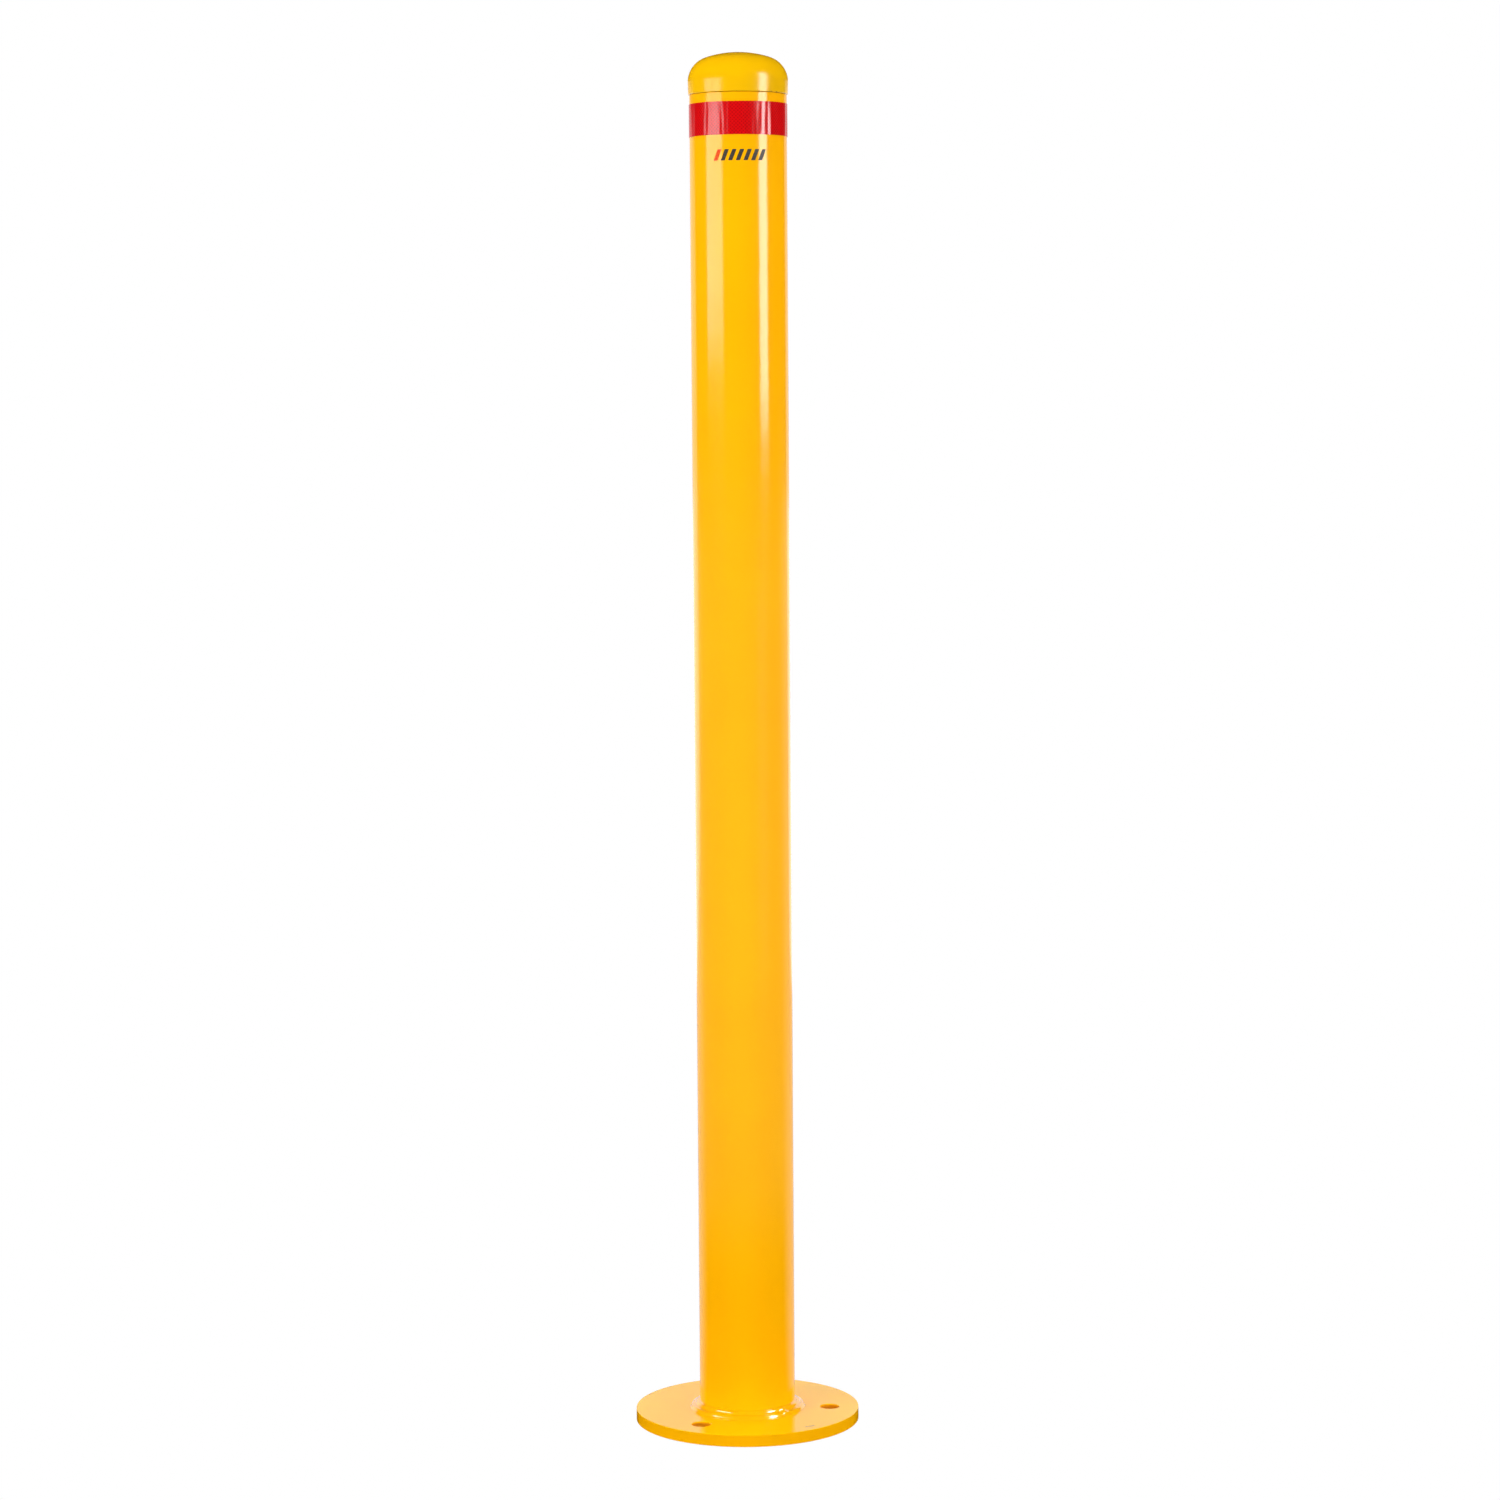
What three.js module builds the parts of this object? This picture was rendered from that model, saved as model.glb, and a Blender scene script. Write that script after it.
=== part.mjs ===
// Surface-mounted steel safety bollard: a round steel post welded to a round base plate that is bolted to
// the ground, closed by a push-in moulded cap, with one reflective band and a small marking decal below it.
// Millimetres, +Z up. The origin is the centre of the base plate's underside, on the post's axis.
// -Y is the front, where the decal is, and the first anchor hole is on +X.
import * as THREE from "three";

// ---- driving dimensions ----

// Flats round the post. Every piece that fits another has the same number, so the gaps between them stay even.
const roundSides = 60;

// Base plate: laser-cut disc with its edges broken
const plateDiameter = 208;
const plateThickness = 11;
const plateEdgeBreak = 0.8;
const anchorHoleCount = 3;
const anchorHoleDiameter = 18;
const anchorHoleToEdge = 27; // from a hole's centre to the plate's edge
const drainHoleDiameter = 26;
const holeSides = 24;

// Post: circular hollow section, 80 nominal bore
const tubeDiameter = 88.9;
const tubeWall = 3.2;
const tubeLength = 1215;

// Fillet weld round the foot of the post
const weldLegOnTube = 7.5;
const weldLegOnPlate = 9.4;
const weldBulge = 0.9; // how far the face stands out from a flat fillet
const weldWander = 0.5; // how far the hand-laid bead swells and thins
const weldWanderCount = 5;
const weldFaceSteps = 5;

// Cap: moulded dome with a finned spigot that is pushed into the tube
const capOverhang = 1.2;
const capSkirtHeight = 11.7;
const capKnuckleRadius = 23;
const capCrownRadius = 95;
const capWall = 3.5;
const capRimRadius = 0.8;
const spigotDepth = 30;
const spigotWall = 2.6;
const spigotLeadIn = 2;
const finCount = 4;
const finReach = 2;
const finRoot = 3; // along the spigot
const finTip = 1; // along the bore

// Reflective band: one wrap of film whose end overlaps its start at the back
const bandWidth = 30;
const bandThickness = 0.4;
const bandBelowTubeTop = 8.2;
const bandOverlapSides = 4;

// Marking decal below the band, stuck on slightly to the right of the front
const decalWidth = 50;
const decalHeight = 10;
const decalThickness = 0.15;
const decalBelowBand = 13;
const decalTurn = (5.5 * Math.PI) / 180;
const decalSides = 10;

// Clearances
const seatGap = 0.2; // between faces that bear on each other
const finClearance = 0.3; // between the fins' tips and the tube's bore
const filmGap = 0.1; // adhesive under the film and the decal

// ---- sizes that follow ----

const anchorCircleRadius = plateDiameter / 2 - anchorHoleToEdge;
const tubeRadius = tubeDiameter / 2;
const boreRadius = tubeRadius - tubeWall;
const tubeBottomZ = plateThickness + seatGap;
const tubeTopZ = tubeBottomZ + tubeLength;
const bandBottomZ = tubeTopZ - bandBelowTubeTop - bandWidth;

// ---- finishes ----

const finishes = {
  powderCoat: new THREE.MeshStandardMaterial({ color: 0xfdb905, roughness: 0.25, metalness: 0 }),
  capPlastic: new THREE.MeshStandardMaterial({ color: 0xf8bf06, roughness: 0.38, metalness: 0 }),
  reflectiveFilm: new THREE.MeshStandardMaterial({ color: 0xd2121c, roughness: 0.2, metalness: 0 }),
  decalVinyl: new THREE.MeshStandardMaterial({ color: 0x33302a, roughness: 0.5, metalness: 0 }),
};

// ---- helpers ----

// Points of a regular polygon that stands for a circle.
function circlePoints(radius, sides, x = 0, y = 0) {
  const points = [];
  for (let i = 0; i < sides; i++) {
    const angle = (2 * Math.PI * i) / sides;
    points.push(new THREE.Vector2(x + radius * Math.cos(angle), y + radius * Math.sin(angle)));
  }
  return points;
}

// Points along an arc of a profile, from one angle to another, both ends included.
function arcPoints(centreR, centreZ, radius, fromAngle, toAngle, steps) {
  const points = [];
  for (let i = 0; i <= steps; i++) {
    const angle = fromAngle + ((toAngle - fromAngle) * i) / steps;
    points.push(new THREE.Vector2(centreR + radius * Math.cos(angle), centreZ + radius * Math.sin(angle)));
  }
  return points;
}

// Turns a profile of (radius, height) points about +Z. A LatheGeometry turns about Y, so it is stood up.
function turned(profile) {
  return new THREE.LatheGeometry(profile, roundSides).rotateX(Math.PI / 2);
}

function piece(name, geometry, finish, z = 0) {
  const mesh = new THREE.Mesh(geometry, finish);
  mesh.name = name;
  mesh.position.z = z;
  return mesh;
}

// ---- base plate ----

function makeBasePlate() {
  // The bevel grows the outline and closes the holes by its own size, so both start that much back.
  const outline = new THREE.Shape(circlePoints(plateDiameter / 2 - plateEdgeBreak, roundSides));
  const holeRadius = anchorHoleDiameter / 2 + plateEdgeBreak;
  for (let i = 0; i < anchorHoleCount; i++) {
    const angle = (2 * Math.PI * i) / anchorHoleCount;
    const x = anchorCircleRadius * Math.cos(angle);
    const y = anchorCircleRadius * Math.sin(angle);
    outline.holes.push(new THREE.Path(circlePoints(holeRadius, holeSides, x, y)));
  }
  outline.holes.push(new THREE.Path(circlePoints(drainHoleDiameter / 2 + plateEdgeBreak, holeSides)));
  const plate = new THREE.ExtrudeGeometry(outline, {
    depth: plateThickness - 2 * plateEdgeBreak,
    bevelEnabled: true,
    bevelThickness: plateEdgeBreak,
    bevelSize: plateEdgeBreak,
    bevelSegments: 1,
  });
  return piece("base_plate", plate, finishes.powderCoat, plateEdgeBreak);
}

// ---- post tube ----

function makePostTube() {
  const wall = [
    new THREE.Vector2(boreRadius, 0),
    new THREE.Vector2(tubeRadius, 0),
    new THREE.Vector2(tubeRadius, tubeLength),
    new THREE.Vector2(boreRadius, tubeLength),
    new THREE.Vector2(boreRadius, 0),
  ];
  return piece("post_tube", turned(wall), finishes.powderCoat, tubeBottomZ);
}

// ---- weld ----

function makeBaseWeld() {
  const rootRadius = tubeRadius + seatGap;
  const root = new THREE.Vector2(rootRadius, 0);
  const onPlate = new THREE.Vector2(rootRadius + weldLegOnPlate, 0);
  const onTube = new THREE.Vector2(rootRadius, weldLegOnTube);
  const outward = new THREE.Vector2(weldLegOnTube, weldLegOnPlate).normalize();
  // The face stands out half as far as the curve's control point.
  const control = onPlate.clone().add(onTube).multiplyScalar(0.5).addScaledVector(outward, 2 * weldBulge);
  const face = new THREE.QuadraticBezierCurve(onPlate, control, onTube).getPoints(weldFaceSteps);
  const bead = turned([root, ...face, root]);
  // The bead swells and thins round the post: each point moves away from the root with its distance from it.
  const position = bead.getAttribute("position");
  for (let i = 0; i < position.count; i++) {
    const x = position.getX(i);
    const y = position.getY(i);
    const radius = Math.hypot(x, y);
    const swell = 1 + (weldWander / weldLegOnPlate) * Math.sin(weldWanderCount * Math.atan2(y, x));
    const swollenRadius = rootRadius + (radius - rootRadius) * swell;
    position.setXYZ(i, (x * swollenRadius) / radius, (y * swollenRadius) / radius, position.getZ(i) * swell);
  }
  return piece("base_weld", bead, finishes.powderCoat, plateThickness + seatGap);
}

// ---- cap ----

// Dome: a flat crown arc on the axis runs tangent into a tight knuckle arc above the straight skirt.
// The inside is the same crown arc a wall's thickness in, chamfered into the bore of the spigot.
// Heights are measured from the rim, which seats on the tube's top end.
function domeProfile(skirtRadius, spigotBore) {
  const knuckleCentreR = skirtRadius - capKnuckleRadius;
  const centresApart = capCrownRadius - capKnuckleRadius;
  const tangentAngle = Math.acos(knuckleCentreR / centresApart);
  const crownCentreZ = capSkirtHeight - centresApart * Math.sin(tangentAngle);
  const rimCentreR = skirtRadius - capRimRadius;
  const innerCrownRadius = capCrownRadius - capWall;
  const innerCrownEdge = Math.acos((spigotBore - capWall) / innerCrownRadius);
  const innerCrown = arcPoints(0, crownCentreZ, innerCrownRadius, Math.PI / 2, innerCrownEdge, 4);
  const chamferEnd = new THREE.Vector2(spigotBore, innerCrown[innerCrown.length - 1].y - capWall);
  return [
    ...arcPoints(rimCentreR, capRimRadius, capRimRadius, -Math.PI / 2, 0, 2),
    ...arcPoints(knuckleCentreR, capSkirtHeight, capKnuckleRadius, 0, tangentAngle, 7),
    ...arcPoints(0, crownCentreZ, capCrownRadius, tangentAngle, Math.PI / 2, 4).slice(1),
    ...innerCrown,
    chamferEnd,
  ];
}

// Fins: sloped below so that they slide in, and square above so that they drag when the cap is pulled.
function finProfile(spigotRadius, rootZ) {
  const tipRadius = spigotRadius + finReach;
  return [
    new THREE.Vector2(spigotRadius, rootZ),
    new THREE.Vector2(tipRadius, rootZ + finRoot - finTip),
    new THREE.Vector2(tipRadius, rootZ + finRoot),
    new THREE.Vector2(spigotRadius, rootZ + finRoot),
  ];
}

function makeEndCap() {
  const spigotRadius = boreRadius - finClearance - finReach;
  const spigotBore = spigotRadius - spigotWall;
  const finPitch = (spigotDepth - spigotLeadIn) / finCount;
  const profile = domeProfile(tubeRadius + capOverhang, spigotBore);
  profile.push(new THREE.Vector2(spigotBore, -spigotDepth));
  profile.push(new THREE.Vector2(spigotRadius - spigotWall / 2, -spigotDepth));
  for (let i = 0; i < finCount; i++) {
    profile.push(...finProfile(spigotRadius, -spigotDepth + spigotLeadIn + i * finPitch));
  }
  profile.push(new THREE.Vector2(spigotRadius, 0));
  profile.push(profile[0].clone());
  return piece("end_cap", turned(profile), finishes.capPlastic, tubeTopZ + seatGap);
}

// ---- reflective band ----

function makeReflectiveBand() {
  const innerRadius = tubeRadius + filmGap;
  const outline = circlePoints(innerRadius + bandThickness, roundSides);
  // The overlap is centred on +Y, at the back.
  const overlapStart = roundSides / 4 - bandOverlapSides / 2;
  for (let i = 1; i < bandOverlapSides; i++) {
    outline[overlapStart + i].setLength(innerRadius + 2 * bandThickness);
  }
  const band = new THREE.Shape(outline);
  band.holes.push(new THREE.Path(circlePoints(innerRadius, roundSides)));
  const film = new THREE.ExtrudeGeometry(band, { depth: bandWidth, bevelEnabled: false });
  return piece("reflective_band", film, finishes.reflectiveFilm, bandBottomZ);
}

// ---- decal ----

function makeMarkingDecal() {
  const innerRadius = tubeRadius + filmGap;
  const outerRadius = innerRadius + decalThickness;
  const halfAngle = decalWidth / 2 / outerRadius;
  const middle = -Math.PI / 2 + decalTurn;
  const patch = new THREE.Shape([
    ...arcPoints(0, 0, outerRadius, middle - halfAngle, middle + halfAngle, decalSides),
    ...arcPoints(0, 0, innerRadius, middle + halfAngle, middle - halfAngle, decalSides),
  ]);
  const vinyl = new THREE.ExtrudeGeometry(patch, { depth: decalHeight, bevelEnabled: false });
  return piece("marking_decal", vinyl, finishes.decalVinyl, bandBottomZ - decalBelowBand - decalHeight);
}

// ---- the bollard ----

const bollard = new THREE.Group();
bollard.add(makeBasePlate());
bollard.add(makePostTube());
bollard.add(makeBaseWeld());
bollard.add(makeEndCap());
bollard.add(makeReflectiveBand());
bollard.add(makeMarkingDecal());

export default bollard;
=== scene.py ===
import math

import bpy
from mathutils import Matrix, Vector


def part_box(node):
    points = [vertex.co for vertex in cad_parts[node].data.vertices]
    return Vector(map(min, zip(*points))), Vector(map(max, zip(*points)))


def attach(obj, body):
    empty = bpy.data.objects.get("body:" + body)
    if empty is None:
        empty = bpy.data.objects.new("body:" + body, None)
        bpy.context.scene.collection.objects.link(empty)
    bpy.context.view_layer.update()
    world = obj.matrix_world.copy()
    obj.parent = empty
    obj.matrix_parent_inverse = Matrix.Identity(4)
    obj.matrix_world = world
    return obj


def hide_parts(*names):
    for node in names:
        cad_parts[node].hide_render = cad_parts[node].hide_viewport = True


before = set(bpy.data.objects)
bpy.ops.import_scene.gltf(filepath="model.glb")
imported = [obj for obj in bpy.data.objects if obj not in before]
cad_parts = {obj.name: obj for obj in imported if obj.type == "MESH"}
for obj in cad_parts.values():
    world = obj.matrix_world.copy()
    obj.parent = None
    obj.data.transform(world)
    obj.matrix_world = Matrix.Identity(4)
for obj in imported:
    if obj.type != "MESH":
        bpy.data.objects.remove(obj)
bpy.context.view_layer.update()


# ---- camera ----
# A long lens a little under a metre up, three and a half metres back. It stands slightly to the side of the
# first anchor hole, looks down a little and is held a hair off level.
camera_back = 3.495
camera_height = 0.944
camera_side_turn = math.radians(3.6)
camera_look_down = math.radians(5.16)
camera_look_right = math.radians(0.11)
camera_tilt = math.radians(-0.41)
camera_lens = 91.2

camera_data = bpy.data.cameras.new("camera")
camera_data.sensor_width = 36.0
camera_data.lens = camera_lens
camera = bpy.data.objects.new("camera", camera_data)
camera.matrix_world = (
    Matrix.Rotation(camera_side_turn, 4, "Z")
    @ Matrix.Translation((0.0, -camera_back, camera_height))
    @ Matrix.Rotation(-camera_look_right, 4, "Z")
    @ Matrix.Rotation(math.pi / 2 - camera_look_down, 4, "X")
    @ Matrix.Rotation(camera_tilt, 4, "Z")
)
bpy.context.scene.collection.objects.link(camera)
bpy.context.scene.camera = camera


# ---- studio ----
# A white floor in a white room, softly lit from all sides. Gloss mirrors two softboxes, a wide one on the
# left and a tall one on the right, a pale card behind the post, and the floor, dim in front and pale
# behind. It hardly mirrors the room.
room_white = 1.0
mirrored_room = 0.01
floor_size = 60.0
floor_drop = 0.0004
floor_dark_radius = 0.7
floor_dim_radius = 1.3
floor_dim = 0.24
floor_pale = 0.65
floor_pale_from = 0.15
floor_pale_to = 0.65
overhead_strength = 1.05
overhead_spread = math.radians(150)
side_strengths = (3.2, 3.2, 3.6, 3.2)
side_spread = math.radians(70)
side_height = math.radians(6)


class Signal:
    """One output of a shader node, so that sums on it read as plain arithmetic and add Math nodes."""

    def __init__(self, tree, socket):
        self.tree = tree
        self.socket = socket

    def node(self, kind, settings, inputs, output=0):
        made = self.tree.nodes.new(kind)
        for setting, choice in settings.items():
            setattr(made, setting, choice)
        for slot, value in inputs.items():
            if isinstance(value, Signal):
                self.tree.links.new(value.socket, made.inputs[slot])
            else:
                made.inputs[slot].default_value = value
        return Signal(self.tree, made.outputs[output]) if made.outputs else None

    def math(self, operation, *values):
        return self.node("ShaderNodeMath", {"operation": operation}, dict(enumerate(values)))

    def __add__(self, other):
        return self.math("ADD", self, other)

    __radd__ = __add__

    def __sub__(self, other):
        return self.math("SUBTRACT", self, other)

    def __rsub__(self, other):
        return self.math("SUBTRACT", other, self)

    def __mul__(self, other):
        return self.math("MULTIPLY", self, other)

    __rmul__ = __mul__

    def __truediv__(self, other):
        return self.math("DIVIDE", self, other)

    def __abs__(self):
        return self.math("ABSOLUTE", self)

    def rise(self, low, high):
        """0 below low, 1 above high, and a smooth step between."""
        inputs = {"Value": self, "From Min": low, "From Max": high}
        return self.node("ShaderNodeMapRange", {"interpolation_type": "SMOOTHSTEP"}, inputs)

    def parts(self):
        return [self.node("ShaderNodeSeparateXYZ", {}, {"Vector": self}, axis) for axis in range(3)]

    def noise(self, scale, detail=2.0):
        return self.node("ShaderNodeTexNoise", {}, {"Vector": self, "Scale": scale, "Detail": detail})

    def colour(self, low, high):
        """The colour low where this is 0, high where it is 1. Either may be a signal."""
        return self.node("ShaderNodeMix", {"data_type": "RGBA"}, {0: self, 6: low, 7: high}, output=2)

    def bump(self, depth, under=None):
        """A relief of this height map, depth metres tall, on top of the relief under it."""
        inputs = {"Height": self, "Distance": depth}
        if under:
            inputs["Normal"] = under
        return self.node("ShaderNodeBump", {}, inputs)


def paint_the_room():
    world = bpy.data.worlds.new("room")
    world.use_nodes = True
    world.node_tree.nodes.clear()
    bpy.context.scene.world = world
    room = Signal(world.node_tree, None)
    looked_at = room.node("ShaderNodeLightPath", {}, {}, "Is Camera Ray")
    white = (1.0, 1.0, 1.0, 1.0)
    lit = room.node("ShaderNodeBackground", {}, {"Color": white, "Strength": room_white})
    dim = room.node("ShaderNodeBackground", {}, {"Color": white, "Strength": mirrored_room})
    both = room.node("ShaderNodeMixShader", {}, {0: looked_at, 1: dim, 2: lit})
    room.node("ShaderNodeOutputWorld", {}, {"Surface": both})


def add_soft_light(name, strength, spread, toward):
    """Light from a broad patch of the room, which gloss doesn't mirror."""
    data = bpy.data.lights.new(name, "SUN")
    data.energy = strength
    data.angle = spread
    data.cycles.use_multiple_importance_sampling = False
    light = bpy.data.objects.new(name, data)
    light.matrix_world = toward.to_track_quat("-Z", "Y").to_matrix().to_4x4()
    light.visible_camera = False
    light.visible_glossy = False
    bpy.context.scene.collection.objects.link(light)


def add_softbox(name, place, aim, size, brightness, lights_matt=True, mirrored=True):
    """A rectangular light of an even brightness, as a camera would read it, turned to face a point."""
    data = bpy.data.lights.new(name, "AREA")
    data.shape = "RECTANGLE"
    data.size, data.size_y = size
    data.energy = brightness * math.pi * size[0] * size[1]
    box = bpy.data.objects.new(name, data)
    facing = (Vector(aim) - Vector(place)).to_track_quat("-Z", "Y")
    box.matrix_world = Matrix.Translation(place) @ facing.to_matrix().to_4x4()
    box.visible_camera = False
    box.visible_diffuse = lights_matt
    box.visible_glossy = mirrored
    bpy.context.scene.collection.objects.link(box)


def lay_floor():
    bpy.ops.object.select_all(action="DESELECT")
    bpy.ops.mesh.primitive_plane_add(size=floor_size, location=(0.0, 0.0, -floor_drop))
    floor = bpy.context.active_object
    floor.name = "floor"
    paper = bpy.data.materials.new("floor_paper")
    paper.use_nodes = True
    paper.node_tree.nodes.clear()
    sheet = Signal(paper.node_tree, None)
    looked_at = sheet.node("ShaderNodeLightPath", {}, {}, "Is Camera Ray")
    across, away, _ = sheet.node("ShaderNodeTexCoord", {}, {}, "Object").parts()
    distance = across.math("SQRT", across * across + away * away)
    behind = (away / distance).rise(floor_pale_from, floor_pale_to)
    in_front = floor_dim * distance.rise(floor_dark_radius, floor_dim_radius)
    black, white = (0.0, 0.0, 0.0, 1.0), (1.0, 1.0, 1.0, 1.0)
    seen = (in_front + behind * (floor_pale - in_front)).colour(black, white)
    lit = sheet.node("ShaderNodeEmission", {}, {"Color": seen})
    blank = sheet.node("ShaderNodeEmission", {}, {"Color": white})
    both = sheet.node("ShaderNodeMixShader", {}, {0: looked_at, 1: lit, 2: blank})
    sheet.node("ShaderNodeOutputMaterial", {}, {"Surface": both})
    paper.cycles.emission_sampling = "NONE"
    floor.data.materials.append(paper)


paint_the_room()
lay_floor()
add_soft_light("overhead_light", overhead_strength, overhead_spread, Vector((0.0, 0.0, -1.0)))
for side, strength in enumerate(side_strengths):
    bearing = math.tau * (side + 0.5) / len(side_strengths)
    level = math.cos(side_height)
    toward = Vector((-level * math.cos(bearing), -level * math.sin(bearing), -math.sin(side_height)))
    add_soft_light(f"side_light_{side}", strength, side_spread, toward)
add_softbox(
    "left_softbox", place=(-1.41, -0.95, 1.205), aim=(0.0, 0.0, 1.205), size=(1.30, 0.35), brightness=4.6
)
add_softbox(
    "right_softbox", place=(1.51, -0.77, 1.515), aim=(0.0, 0.0, 1.515), size=(0.62, 1.17), brightness=10.0,
    lights_matt=False,
)
add_softbox(
    "back_card", place=(-1.0, 2.6, 0.73), aim=(-1.0, 0.0, 0.73), size=(6.0, 1.48), brightness=0.8,
    lights_matt=False,
)
add_softbox(
    "low_fill", place=(0.9, -0.7, 0.5), aim=(0.0, 0.0, 0.5), size=(0.5, 0.5), brightness=2.4, mirrored=False
)
bpy.context.scene.view_settings.view_transform = "Standard"


# ---- base plate ----
# A disc laser-cut from 11 mm steel plate, with three holes for masonry anchors and a drain hole under the
# post. The powder coat rounds its edges and is thick enough to show a fine orange peel.
plate_low, plate_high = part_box("base_plate")
plate_radius = (plate_high.x - plate_low.x) / 2
plate_thickness = plate_high.z - plate_low.z
plate_sides = 240
plate_edge = 0.0009
plate_edge_steps = 3
anchor_holes = 3
anchor_hole_radius = 0.009
anchor_circle_radius = 0.077
drain_hole_radius = 0.013
hole_angles = [math.tau * hole / anchor_holes for hole in range(anchor_holes)]
hole_centres = [(anchor_circle_radius * math.cos(a), anchor_circle_radius * math.sin(a)) for a in hole_angles]
drilled_sides = 72
scuff_place = (0.062, -0.070)
scuff_turn = math.radians(38)
scuff_half_length = 0.0070
scuff_half_width = 0.0020
scuff_grain_scale = 1400.0
scuff_grey = (0.16, 0.12, 0.08, 1.0)

coat_yellow = (0.93, 0.425, 0.0012, 1.0)
coat_deep_yellow = (0.90, 0.400, 0.0010, 1.0)
# Painted light: a paler yellow painted on the plate's top, where light falls.
painted_light_plate_top_yellow = (0.95, 0.520, 0.0010, 1.0)
# Painted shade: a darker brown painted on the walls of the anchor holes.
painted_hole_shade = (0.72, 0.25, 0.003, 1.0)
hole_wall_roughness = 0.5
painted_top_light_least = 0.7
coat_cloud_scale = 11.0
coat_cloud_share = 0.75
coat_speck_scale = 900.0
coat_roughness = 0.13
coat_roughness_swing = 0.05
coat_roughness_scale = 60.0
peel_scale = 330.0
peel_depth = 0.00004
sag_scale = 26.0
sag_depth = 0.00022


def new_finish(name):
    """A material, its Principled shader, and the signal of a place on the piece, in metres."""
    material = bpy.data.materials.new(name)
    material.use_nodes = True
    tree = material.node_tree
    place = tree.nodes.new("ShaderNodeTexCoord").outputs["Object"]
    return material, tree.nodes["Principled BSDF"], Signal(tree, place)


def feed(shader, **inputs):
    """Links signals to the shader's inputs, and sets its plain numbers."""
    for slot, value in inputs.items():
        socket = shader.inputs[slot.replace("_", " ")]
        if isinstance(value, Signal):
            value.tree.links.new(value.socket, socket)
        else:
            socket.default_value = value


def scuff_mask(place):
    """A short grey rub on the plate's top, just inside its rim."""
    x, y, _ = place.parts()
    cos, sin = math.cos(scuff_turn), math.sin(scuff_turn)
    along = (x - scuff_place[0]) * cos + (y - scuff_place[1]) * sin
    across = (y - scuff_place[1]) * cos - (x - scuff_place[0]) * sin
    inside = 1 - abs(along / scuff_half_length).rise(0.5, 1.0)
    inside = inside * (1 - abs(across / scuff_half_width).rise(0.3, 1.0))
    return inside * place.noise(scuff_grain_scale).rise(0.35, 0.6)


def in_holes(place):
    """1 on the walls of the anchor holes, below their rounded lips, which are painted darker as painted
    shade.
    """
    x, y, height = place.parts()
    below_lip = 1 - height.rise(plate_thickness - 2 * plate_edge, plate_thickness - plate_edge)
    outside = 1.0
    for centre_x, centre_y in hole_centres:
        across, away = x - centre_x, y - centre_y
        from_centre = across.math("SQRT", across * across + away * away)
        outside = outside * from_centre.rise(anchor_hole_radius, anchor_hole_radius + plate_edge)
    return below_lip * (1 - outside)


def powder_coat(name, peel=peel_depth, on_plate=False, **gloss):
    """Gloss yellow powder. On the plate, the top is painted paler as painted light and is scuffed, and the
    anchor hole walls are painted darker as painted shade.
    """
    material, shader, place = new_finish(name)
    cloud = place.noise(coat_cloud_scale)
    speck = place.noise(coat_speck_scale)
    mottle = coat_cloud_share * cloud + (1 - coat_cloud_share) * speck
    colour = mottle.rise(0.3, 0.7).colour(coat_deep_yellow, coat_yellow)
    roughness = coat_roughness + (place.noise(coat_roughness_scale) - 0.5) * coat_roughness_swing
    if on_plate:
        # Painted light: the plate's top is painted paler than its sides, varied by the cloud noise.
        on_top = place.parts()[2].rise(plate_thickness - plate_edge, plate_thickness)
        painted_top_light = on_top * (painted_top_light_least + (1 - painted_top_light_least) * cloud)
        colour = painted_top_light.colour(colour, painted_light_plate_top_yellow)
        colour = scuff_mask(place).colour(colour, scuff_grey)
        # Painted shade: the anchor hole walls are painted darker, and made rougher.
        hole_shade = in_holes(place)
        colour = hole_shade.colour(colour, painted_hole_shade)
        roughness = roughness + hole_wall_roughness * hole_shade
    sagging = place.noise(sag_scale, 1.0).bump(sag_depth)
    peeled = place.noise(peel_scale).bump(peel, sagging)
    feed(shader, Base_Color=colour, Roughness=roughness, Normal=peeled, IOR=1.5, **gloss)
    return material


def put_in_mesh(piece):
    """Moves a piece's place and turn into its mesh, so that its object sits at the origin."""
    bpy.ops.object.select_all(action="DESELECT")
    piece.select_set(True)
    bpy.context.view_layer.objects.active = piece
    bpy.ops.object.transform_apply(location=True, rotation=True, scale=True)


def apply_modifier(piece, kind, **settings):
    modifier = piece.modifiers.new(kind.lower(), kind)
    for setting, choice in settings.items():
        setattr(modifier, setting, choice)
    bpy.context.view_layer.objects.active = piece
    bpy.ops.object.modifier_apply(modifier=modifier.name)


def drill(plate, x, y, radius):
    bpy.ops.object.select_all(action="DESELECT")
    bpy.ops.mesh.primitive_cylinder_add(
        vertices=drilled_sides, radius=radius, depth=4 * plate_thickness, location=(x, y, 0.0)
    )
    bit = bpy.context.active_object
    apply_modifier(plate, "BOOLEAN", operation="DIFFERENCE", solver="EXACT", object=bit)
    bpy.data.objects.remove(bit)


def make_base_plate():
    bpy.ops.object.select_all(action="DESELECT")
    bpy.ops.mesh.primitive_cylinder_add(
        vertices=plate_sides, radius=plate_radius, depth=plate_thickness,
        location=(0.0, 0.0, plate_thickness / 2),
    )
    plate = bpy.context.active_object
    plate.name = "drilled_base_plate"
    put_in_mesh(plate)
    drill(plate, 0.0, 0.0, drain_hole_radius)
    for x, y in hole_centres:
        drill(plate, x, y, anchor_hole_radius)
    apply_modifier(plate, "BEVEL", width=plate_edge, segments=plate_edge_steps, angle_limit=math.radians(50))
    bpy.ops.object.shade_smooth()
    apply_modifier(plate, "WEIGHTED_NORMAL", keep_sharp=True)
    plate.data.materials.append(powder_coat("plate_powder_coat", on_plate=True))
    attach(plate, "post")
    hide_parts("base_plate")


make_base_plate()


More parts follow.
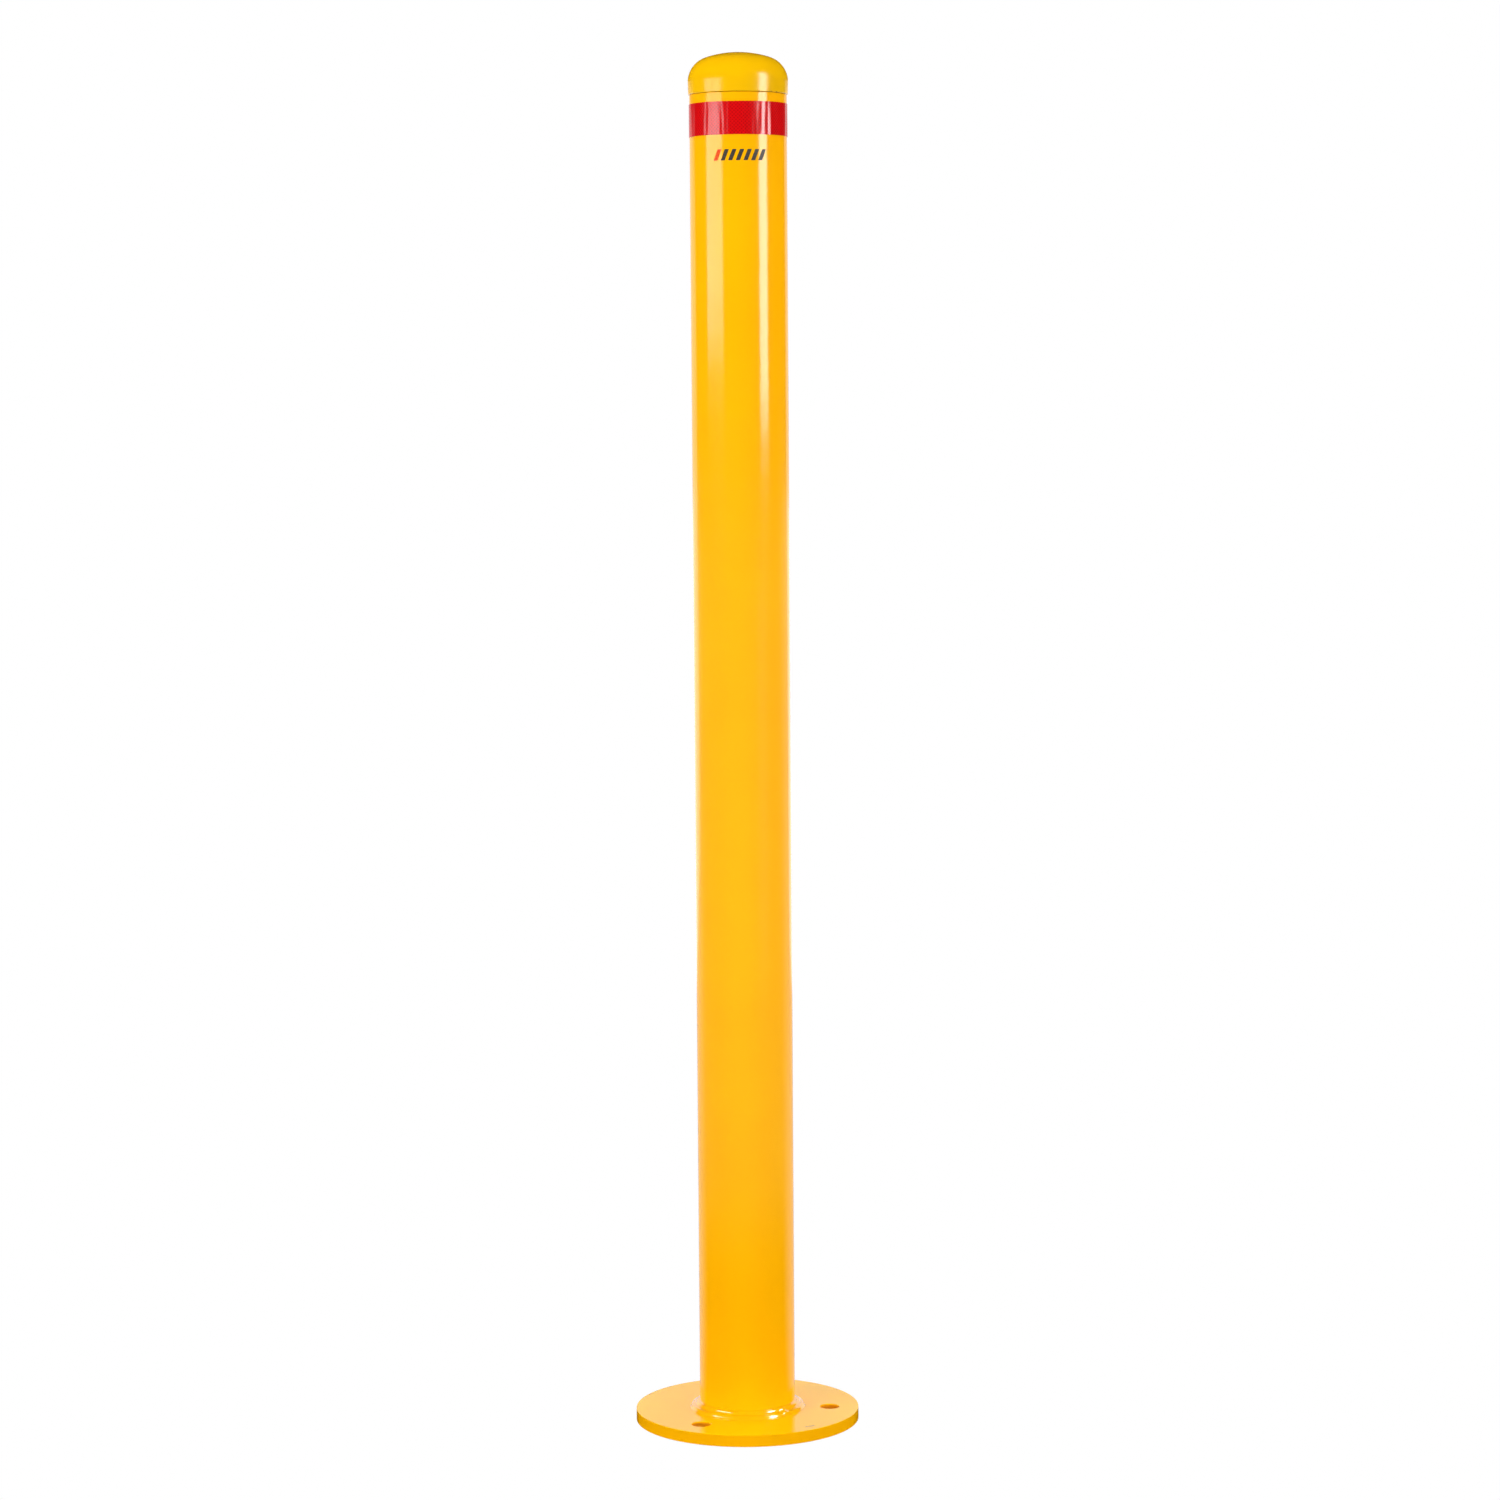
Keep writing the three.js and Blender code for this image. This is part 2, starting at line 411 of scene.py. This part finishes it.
# ---- post tube ----
# A length of 88.9 mm steel tube, saw-cut square at both ends and powder coated outside. The coat only
# dusts the inside near its ends, and the rest of it shows the mill's grey scale.
tube_low, tube_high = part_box("post_tube")
tube_radius = (tube_high.x - tube_low.x) / 2
tube_wall = 0.0032
tube_end_edge = 0.0004
tube_steps = 192
tube_edge_steps = 3
steel_grey = (0.11, 0.10, 0.09, 1.0)
steel_rust = (0.16, 0.075, 0.03, 1.0)
rust_scale = 45.0
steel_roughness = 0.55
steel_roughness_swing = 0.2
steel_roughness_scale = 90.0
mill_scale_scale = 220.0
mill_scale_depth = 0.00006
dust_reach = 0.05
dust_scale = 500.0


def arc(centre_radius, centre_height, radius, start, end, steps):
    """Points of a section along an arc, both ends included."""
    angles = [start + (end - start) * i / steps for i in range(steps + 1)]
    return [(centre_radius + radius * math.cos(a), centre_height + radius * math.sin(a)) for a in angles]


def turn(name, section, steps):
    """Draws half a section of (radius, height) points on the +X side and spins it round the post's axis."""
    bpy.ops.object.select_all(action="DESELECT")
    bpy.ops.mesh.primitive_plane_add(size=tube_radius)
    piece = bpy.context.active_object
    piece.name = name
    bpy.ops.object.mode_set(mode="EDIT")
    bpy.ops.mesh.select_all(action="SELECT")
    bpy.ops.mesh.merge(type="CENTER")
    radius, height = section[0]
    bpy.ops.transform.translate(value=(radius, 0.0, height))
    for (radius, height), (last_radius, last_height) in zip(section[1:], section):
        step = (radius - last_radius, 0.0, height - last_height)
        bpy.ops.mesh.extrude_vertices_move(TRANSFORM_OT_translate={"value": step})
    bpy.ops.mesh.select_all(action="SELECT")
    bpy.ops.mesh.spin(steps=steps, angle=math.tau, center=(0.0, 0.0, 0.0), axis=(0.0, 0.0, 1.0))
    bpy.ops.mesh.select_all(action="SELECT")
    bpy.ops.mesh.remove_doubles(threshold=0.000002)
    bpy.ops.mesh.normals_make_consistent(inside=False)
    bpy.ops.object.mode_set(mode="OBJECT")
    return piece


def bare_steel():
    material, shader, place = new_finish("mill_scale_steel")
    _, _, height = place.parts()
    stain = place.noise(rust_scale, 6.0).rise(0.45, 0.7).colour(steel_grey, steel_rust)
    near_end = 1 - (tube_high.z - height).math("MINIMUM", tube_high.z - height, height).rise(0.0, dust_reach)
    dusted = (near_end + place.noise(dust_scale) - 0.6).rise(0.0, 0.5).colour(stain, coat_deep_yellow)
    relief = place.noise(mill_scale_scale, 4.0).bump(mill_scale_depth)
    roughness = steel_roughness + steel_roughness_swing * place.noise(steel_roughness_scale)
    feed(shader, Base_Color=dusted, Roughness=roughness, Normal=relief)
    return material


def make_post_tube():
    bore = tube_radius - tube_wall
    low, high = plate_high.z, tube_high.z
    edge = tube_end_edge
    section = [
        *arc(tube_radius - edge, low + edge, edge, -math.pi / 2, 0.0, tube_edge_steps),
        *arc(tube_radius - edge, high - edge, edge, 0.0, math.pi / 2, tube_edge_steps),
        *arc(bore + edge, high - edge, edge, math.pi / 2, math.pi, tube_edge_steps),
        *arc(bore + edge, low + edge, edge, math.pi, math.pi * 3 / 2, tube_edge_steps),
    ]
    tube = turn("coated_post_tube", [*section, section[0]], tube_steps)
    bpy.ops.object.shade_smooth_by_angle(angle=math.radians(50))
    apply_modifier(tube, "WEIGHTED_NORMAL", keep_sharp=True)
    tube.data.materials.append(powder_coat("tube_powder_coat"))
    tube.data.materials.append(bare_steel())
    halfway = (tube_radius + bore) / 2
    for face in tube.data.polygons:
        if face.center.xy.length < halfway and face.center.xy.dot(face.normal.xy) < 0:
            face.material_index = 1
    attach(tube, "post")
    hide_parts("post_tube")


make_post_tube()


# ---- foot weld ----
# One fillet bead run by hand round the foot in two passes, which leaves two low ridges, a slow wander and a
# lump where the end of the run ties into its start. It is coated with the post.
weld_leg_out = 0.0094
weld_leg_up = 0.0075
weld_sink = 0.0003
weld_wander = 0.0004
wander_waves = ((0.5, 5, 0.0), (0.3, 3, 1.1), (0.2, 11, 0.0))
weld_steps = 720
weld_face_steps = 28
toe_ridge = (0.30, 0.16, 0.00103)
top_ridge = (0.76, 0.12, 0.00078)
ridge_waver = 0.12
weld_peel_depth = 0.000006
weld_gloss_roughness = 0.03
ripple_count = 150
ripple_height = 0.00001
ripple_lean = 2.2
tie_in_angle = math.radians(-43)
tie_in_spread = math.radians(3.5)
tie_in_height = 0.0012


def ridge_height(along, ridge):
    """How far a ridge (centre, spread, height) lifts the bead's face."""
    centre, spread, height = ridge
    return height * math.exp(-(((along - centre) / spread) ** 2))


def weld_face(along, angle):
    """A point (out, up) on the bead's face: along runs from 0 at the plate to 1 at the tube."""
    wander = sum(share * math.sin(count * angle + start) for share, count, start in wander_waves)
    out = (weld_leg_out + weld_wander * wander) * (1 - along)
    up = (weld_leg_up + weld_wander * wander) * along
    swell = ridge_height(along, toe_ridge) * (1 + ridge_waver * math.sin(4 * angle + 0.5))
    swell += ridge_height(along, top_ridge) * (1 + ridge_waver * math.sin(7 * angle + 2.0))
    from_tie_in = math.remainder(angle - tie_in_angle, math.tau) / tie_in_spread
    swell += tie_in_height * math.exp(-(from_tie_in**2)) * math.sin(math.pi * along)
    ripple = ripple_height * math.sin(ripple_count * angle + ripple_lean * along)
    swell += ripple * math.sin(math.pi * along)
    slant = math.hypot(weld_leg_out, weld_leg_up)
    return out + swell * weld_leg_up / slant, up + swell * weld_leg_out / slant


def make_foot_weld():
    root = (tube_radius - weld_sink, plate_high.z - weld_sink)
    steps = [i / weld_face_steps for i in range(weld_face_steps + 1)]
    face = [(tube_radius + weld_leg_out * (1 - t), plate_high.z + weld_leg_up * t) for t in steps]
    toe = (tube_radius + weld_leg_out, root[1])
    top = (root[0], plate_high.z + weld_leg_up)
    weld = turn("foot_weld_bead", [root, toe, *face, top, root], weld_steps)
    for vertex in weld.data.vertices:
        out = vertex.co.xy.length - tube_radius
        up = vertex.co.z - plate_high.z
        if out < 0 and up < 0:
            continue
        angle = math.atan2(vertex.co.y, vertex.co.x)
        along = min(max(up / weld_leg_up, 0.0), 1.0)
        new_out, new_up = weld_face(along, angle)
        radius = tube_radius + (new_out if out >= 0 else out)
        vertex.co.x, vertex.co.y = radius * math.cos(angle), radius * math.sin(angle)
        vertex.co.z = plate_high.z + (new_up if up >= 0 else up)
    bpy.ops.object.shade_smooth_by_angle(angle=math.radians(60))
    coat = powder_coat(
        "weld_powder_coat", weld_peel_depth,
        Specular_IOR_Level=1.0, Coat_Weight=1.0, Coat_Roughness=weld_gloss_roughness,
    )
    weld.data.materials.append(coat)
    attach(weld, "post")
    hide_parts("base_weld")


make_foot_weld()


# ---- end cap ----
# Injection moulded in yellow plastic: a shallow dome with a tight shoulder, slightly wider than the tube,
# on a hollow spigot whose fins grip the bore when the cap is knocked in.
cap_low, cap_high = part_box("end_cap")
cap_radius = (cap_high.x - cap_low.x) / 2
cap_gap = 0.0002
cap_rim_height = tube_high.z + cap_gap
cap_wall = 0.0035
skirt_height = 0.0117
shoulder_radius = 0.023
crown_radius = 0.095
rim_edge = 0.0007
skirt_draft = 0.00025
pole_radius = 0.0004
spigot_wall = 0.0026
fin_reach = 0.002
fin_gap = 0.0003
fin_count = 4
fin_root = 0.003
fin_tip = 0.001
spigot_lead_in = 0.002
cap_steps = 192

cap_yellow = (0.79, 0.430, 0.0010, 1.0)
cap_deep_yellow = (0.76, 0.410, 0.0008, 1.0)
cap_flow_scale = 22.0
cap_rim_speck_colour = (0.10, 0.06, 0.01, 1.0)
cap_rim_speck_scale = 130.0
cap_rim_speck_strength = 0.8
cap_grain_scale = 1500.0
cap_grain_depth = 0.00002
cap_sink_scale = 40.0
cap_sink_depth = 0.0003
cap_roughness = 0.15
cap_roughness_swing = 0.07
cap_roughness_scale = 75.0


def cap_plastic():
    material, shader, place = new_finish("cap_yellow_plastic")
    _, _, height = place.parts()
    flow = place.noise(cap_flow_scale, 3.0).rise(0.35, 0.65).colour(cap_deep_yellow, cap_yellow)
    # Dark specks along the rim line, where the cap meets the tube.
    at_rim = 1 - abs(height - cap_rim_height).rise(0.0004, 0.0014)
    speck = at_rim * place.noise(cap_rim_speck_scale, 1.0).rise(0.62, 0.68)
    colour = (cap_rim_speck_strength * speck).colour(flow, cap_rim_speck_colour)
    sunk = place.noise(cap_sink_scale, 1.0).bump(cap_sink_depth)
    skin = place.noise(cap_grain_scale).bump(cap_grain_depth, sunk)
    roughness = cap_roughness + cap_roughness_swing * place.noise(cap_roughness_scale)
    feed(shader, Base_Color=colour, Roughness=roughness, Normal=skin, IOR=1.5)
    return material


def dome_section():
    """The outside of the dome, from its middle down to the rim's inner edge."""
    shoulder_centre = cap_radius - shoulder_radius
    apart = crown_radius - shoulder_radius
    tangent = math.acos(shoulder_centre / apart)
    shoulder_height = cap_rim_height + skirt_height
    crown_height = shoulder_height - apart * math.sin(tangent)
    from_pole = math.pi / 2 - pole_radius / crown_radius
    crown = arc(0.0, crown_height, crown_radius, from_pole, tangent, 14)
    shoulder = arc(shoulder_centre, shoulder_height, shoulder_radius, tangent, 0.0, 18)
    rim_centre = cap_radius - skirt_draft - rim_edge
    rim = arc(rim_centre, cap_rim_height + rim_edge, rim_edge, 0.0, -math.pi / 2, 4)
    return [*crown, *shoulder[1:], *rim], crown_height


def spigot_section(spigot_radius):
    """Down the finned outside of the spigot, from under the rim to its end."""
    end = cap_low.z
    points = [(spigot_radius, cap_rim_height)]
    pitch = (cap_rim_height - end - spigot_lead_in) / fin_count
    for fin in reversed(range(fin_count)):
        root = end + spigot_lead_in + fin * pitch
        points += [
            (spigot_radius, root + fin_root),
            (spigot_radius + fin_reach, root + fin_root),
            (spigot_radius + fin_reach, root + fin_root - fin_tip),
            (spigot_radius, root),
        ]
    points.append((spigot_radius - spigot_wall / 2, end))
    return points


def make_end_cap():
    outside, crown_height = dome_section()
    spigot_radius = tube_radius - tube_wall - fin_gap - fin_reach
    bore = spigot_radius - spigot_wall
    inner_crown_radius = crown_radius - cap_wall
    crown_edge = math.acos((bore - cap_wall) / inner_crown_radius)
    to_pole = math.pi / 2 - pole_radius / inner_crown_radius
    inner_crown = arc(0.0, crown_height, inner_crown_radius, crown_edge, to_pole, 10)
    inside = [(bore, cap_low.z), (bore, inner_crown[0][1] - cap_wall), *inner_crown]
    cap = turn("domed_end_cap", [*outside, *spigot_section(spigot_radius), *inside], cap_steps)
    bpy.ops.object.mode_set(mode="EDIT")
    bpy.ops.mesh.select_all(action="DESELECT")
    bpy.ops.mesh.select_non_manifold(extend=False)
    bpy.ops.mesh.fill_holes(sides=0)
    bpy.ops.mesh.select_all(action="SELECT")
    bpy.ops.mesh.normals_make_consistent(inside=False)
    bpy.ops.object.mode_set(mode="OBJECT")
    bpy.ops.object.shade_smooth_by_angle(angle=math.radians(35))
    apply_modifier(cap, "WEIGHTED_NORMAL", keep_sharp=True)
    cap.data.materials.append(cap_plastic())
    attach(cap, "cap")
    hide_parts("end_cap")


make_end_cap()


# ---- reflective band ----
# One strip of red prismatic film stuck round the tube, its end lapped over its start at the back. It has a
# fine lattice of cells and isn't pulled quite flat, so what it mirrors ripples.
band_low, band_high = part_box("reflective_band")
film_thickness = 0.0004
film_glue = 0.00005
film_overlap = 0.016
film_ramp = 0.004
film_skew = 0.0004
film_steps = 320
film_rows = 4
cell_pitch = 0.0033
cell_dot = (0.30, 0.75)
cell_dot_shade = 0.55
cell_line_shade = 0.30
cell_depth = 0.00001
film_cloud_shade = 0.25
film_cloud_scale = 160.0
film_roughness = 0.18
film_gloss = 0.75
film_red = (0.62, 0.0025, 0.0040, 1.0)
film_dark_red = (0.24, 0.0010, 0.0022, 1.0)
film_ripple_scale = 130.0
film_ripple_depth = 0.0011


def wrap(piece, start_angle, height, lift):
    """Bends a flat piece round the tube: its x runs round from start_angle, its y is height above a level."""
    for vertex in piece.data.vertices:
        run, rise = vertex.co.x, vertex.co.y
        radius = tube_radius + lift(run)
        angle = start_angle + run / tube_radius
        vertex.co = (radius * math.cos(angle), radius * math.sin(angle), height + rise)


def reflective_film(length, width):
    material, shader, place = new_finish("red_prismatic_film")
    uv = place.node("ShaderNodeUVMap", {"uv_map": "UVMap"}, {})
    along, up, _ = uv.parts()
    waves = math.tau / cell_pitch
    across_cells = (along * (length * waves / math.sqrt(3))).math("COSINE", along * (length * waves))
    up_cells = up.math("COSINE", up * (width * waves))
    dots = (across_cells * up_cells).rise(*cell_dot)
    lines = abs(across_cells * up_cells).rise(0.0, 0.12)
    cells = cell_dot_shade * dots + cell_line_shade * (1 - lines)
    shade = (cells + film_cloud_shade * place.noise(film_cloud_scale)).rise(0.0, 1.0)
    unrolled = place.node("ShaderNodeCombineXYZ", {}, {"X": along * length, "Y": up * (0.1 * width)})
    ripple = unrolled.noise(film_ripple_scale, 1.0).bump(film_ripple_depth)
    relief = (across_cells * up_cells).bump(cell_depth, ripple)
    colour = shade.colour(film_red, film_dark_red)
    feed(
        shader, Base_Color=colour, Roughness=film_roughness, Normal=relief, IOR=1.5,
        Specular_IOR_Level=film_gloss,
    )
    return material


def make_reflective_band():
    width = band_high.z - band_low.z
    length = math.tau * tube_radius + film_overlap
    bpy.ops.object.select_all(action="DESELECT")
    bpy.ops.mesh.primitive_grid_add(x_subdivisions=film_steps, y_subdivisions=film_rows, size=1.0)
    band = bpy.context.active_object
    band.name = "red_reflective_film"
    band.scale = (length, width - film_skew, 1.0)
    band.location = (length / 2, (width - film_skew) / 2, 0.0)
    put_in_mesh(band)

    def lift(run):
        over = (run - math.tau * tube_radius + film_ramp) / film_ramp
        over = min(max(over, 0.0), 1.0)
        return film_glue + film_thickness * (1 + over * over * (3 - 2 * over))

    for vertex in band.data.vertices:
        vertex.co.y += film_skew * vertex.co.x / length
    wrap(band, math.pi / 2 - film_overlap / 2 / tube_radius, band_low.z, lift)
    apply_modifier(band, "SOLIDIFY", thickness=film_thickness, offset=-1.0)
    bpy.ops.object.shade_smooth_by_angle(angle=math.radians(40))
    band.data.materials.append(reflective_film(length, width))
    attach(band, "post")
    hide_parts("reflective_band")


make_reflective_band()


# ---- marking ----
# A row of slanted bars printed on the front of the post, under the band, the first one red and the others
# dark grey. It is a plain marking that names nobody.
decal_low, decal_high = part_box("marking_decal")
bar_count = 7
marking_width = 0.0495
marking_turn = math.radians(5.5)
bar_width = 0.0038
bar_slant = 0.004
bar_steps = 6
ink_thickness = 0.00012
ink_grey = (0.040, 0.036, 0.030, 1.0)
ink_worn_grey = (0.085, 0.070, 0.045, 1.0)
ink_red = (0.72, 0.060, 0.004, 1.0)
ink_worn_red = (0.80, 0.130, 0.004, 1.0)
ink_wear_scale = 700.0
ink_roughness = 0.35
ink_roughness_swing = 0.15
ink_roughness_scale = 300.0
ink_gloss = 0.25


def marking_ink(name, fresh, worn):
    material, shader, place = new_finish(name)
    colour = place.noise(ink_wear_scale, 3.0).rise(0.45, 0.75).colour(fresh, worn)
    roughness = ink_roughness + ink_roughness_swing * place.noise(ink_roughness_scale)
    feed(shader, Base_Color=colour, Roughness=roughness, Specular_IOR_Level=ink_gloss)
    return material


def make_marking():
    height = decal_high.z - decal_low.z
    pitch = (marking_width - bar_width - bar_slant) / (bar_count - 1)
    dark_ink = marking_ink("dark_marking_ink", ink_grey, ink_worn_grey)
    red_ink = marking_ink("red_marking_ink", ink_red, ink_worn_red)
    bars = []
    for bar in range(bar_count):
        bpy.ops.object.select_all(action="DESELECT")
        bpy.ops.mesh.primitive_grid_add(x_subdivisions=bar_steps, y_subdivisions=bar_steps, size=1.0)
        piece = bpy.context.active_object
        piece.scale = (bar_width, height, 1.0)
        piece.location = (bar_width / 2 + bar * pitch, height / 2, 0.0)
        put_in_mesh(piece)
        for vertex in piece.data.vertices:
            vertex.co.x += bar_slant * vertex.co.y / height
        piece.data.materials.append(dark_ink if bar else red_ink)
        bars.append(piece)
    for piece in bars:
        piece.select_set(True)
    bpy.ops.object.join()
    marking = bpy.context.active_object
    marking.name = "slanted_bar_marking"
    start = marking_turn - math.pi / 2 - marking_width / 2 / tube_radius
    wrap(marking, start, decal_low.z, lambda run: ink_thickness)
    apply_modifier(marking, "SOLIDIFY", thickness=ink_thickness, offset=-1.0)
    bpy.ops.object.shade_smooth_by_angle(angle=math.radians(40))
    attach(marking, "post")
    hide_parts("marking_decal")


make_marking()
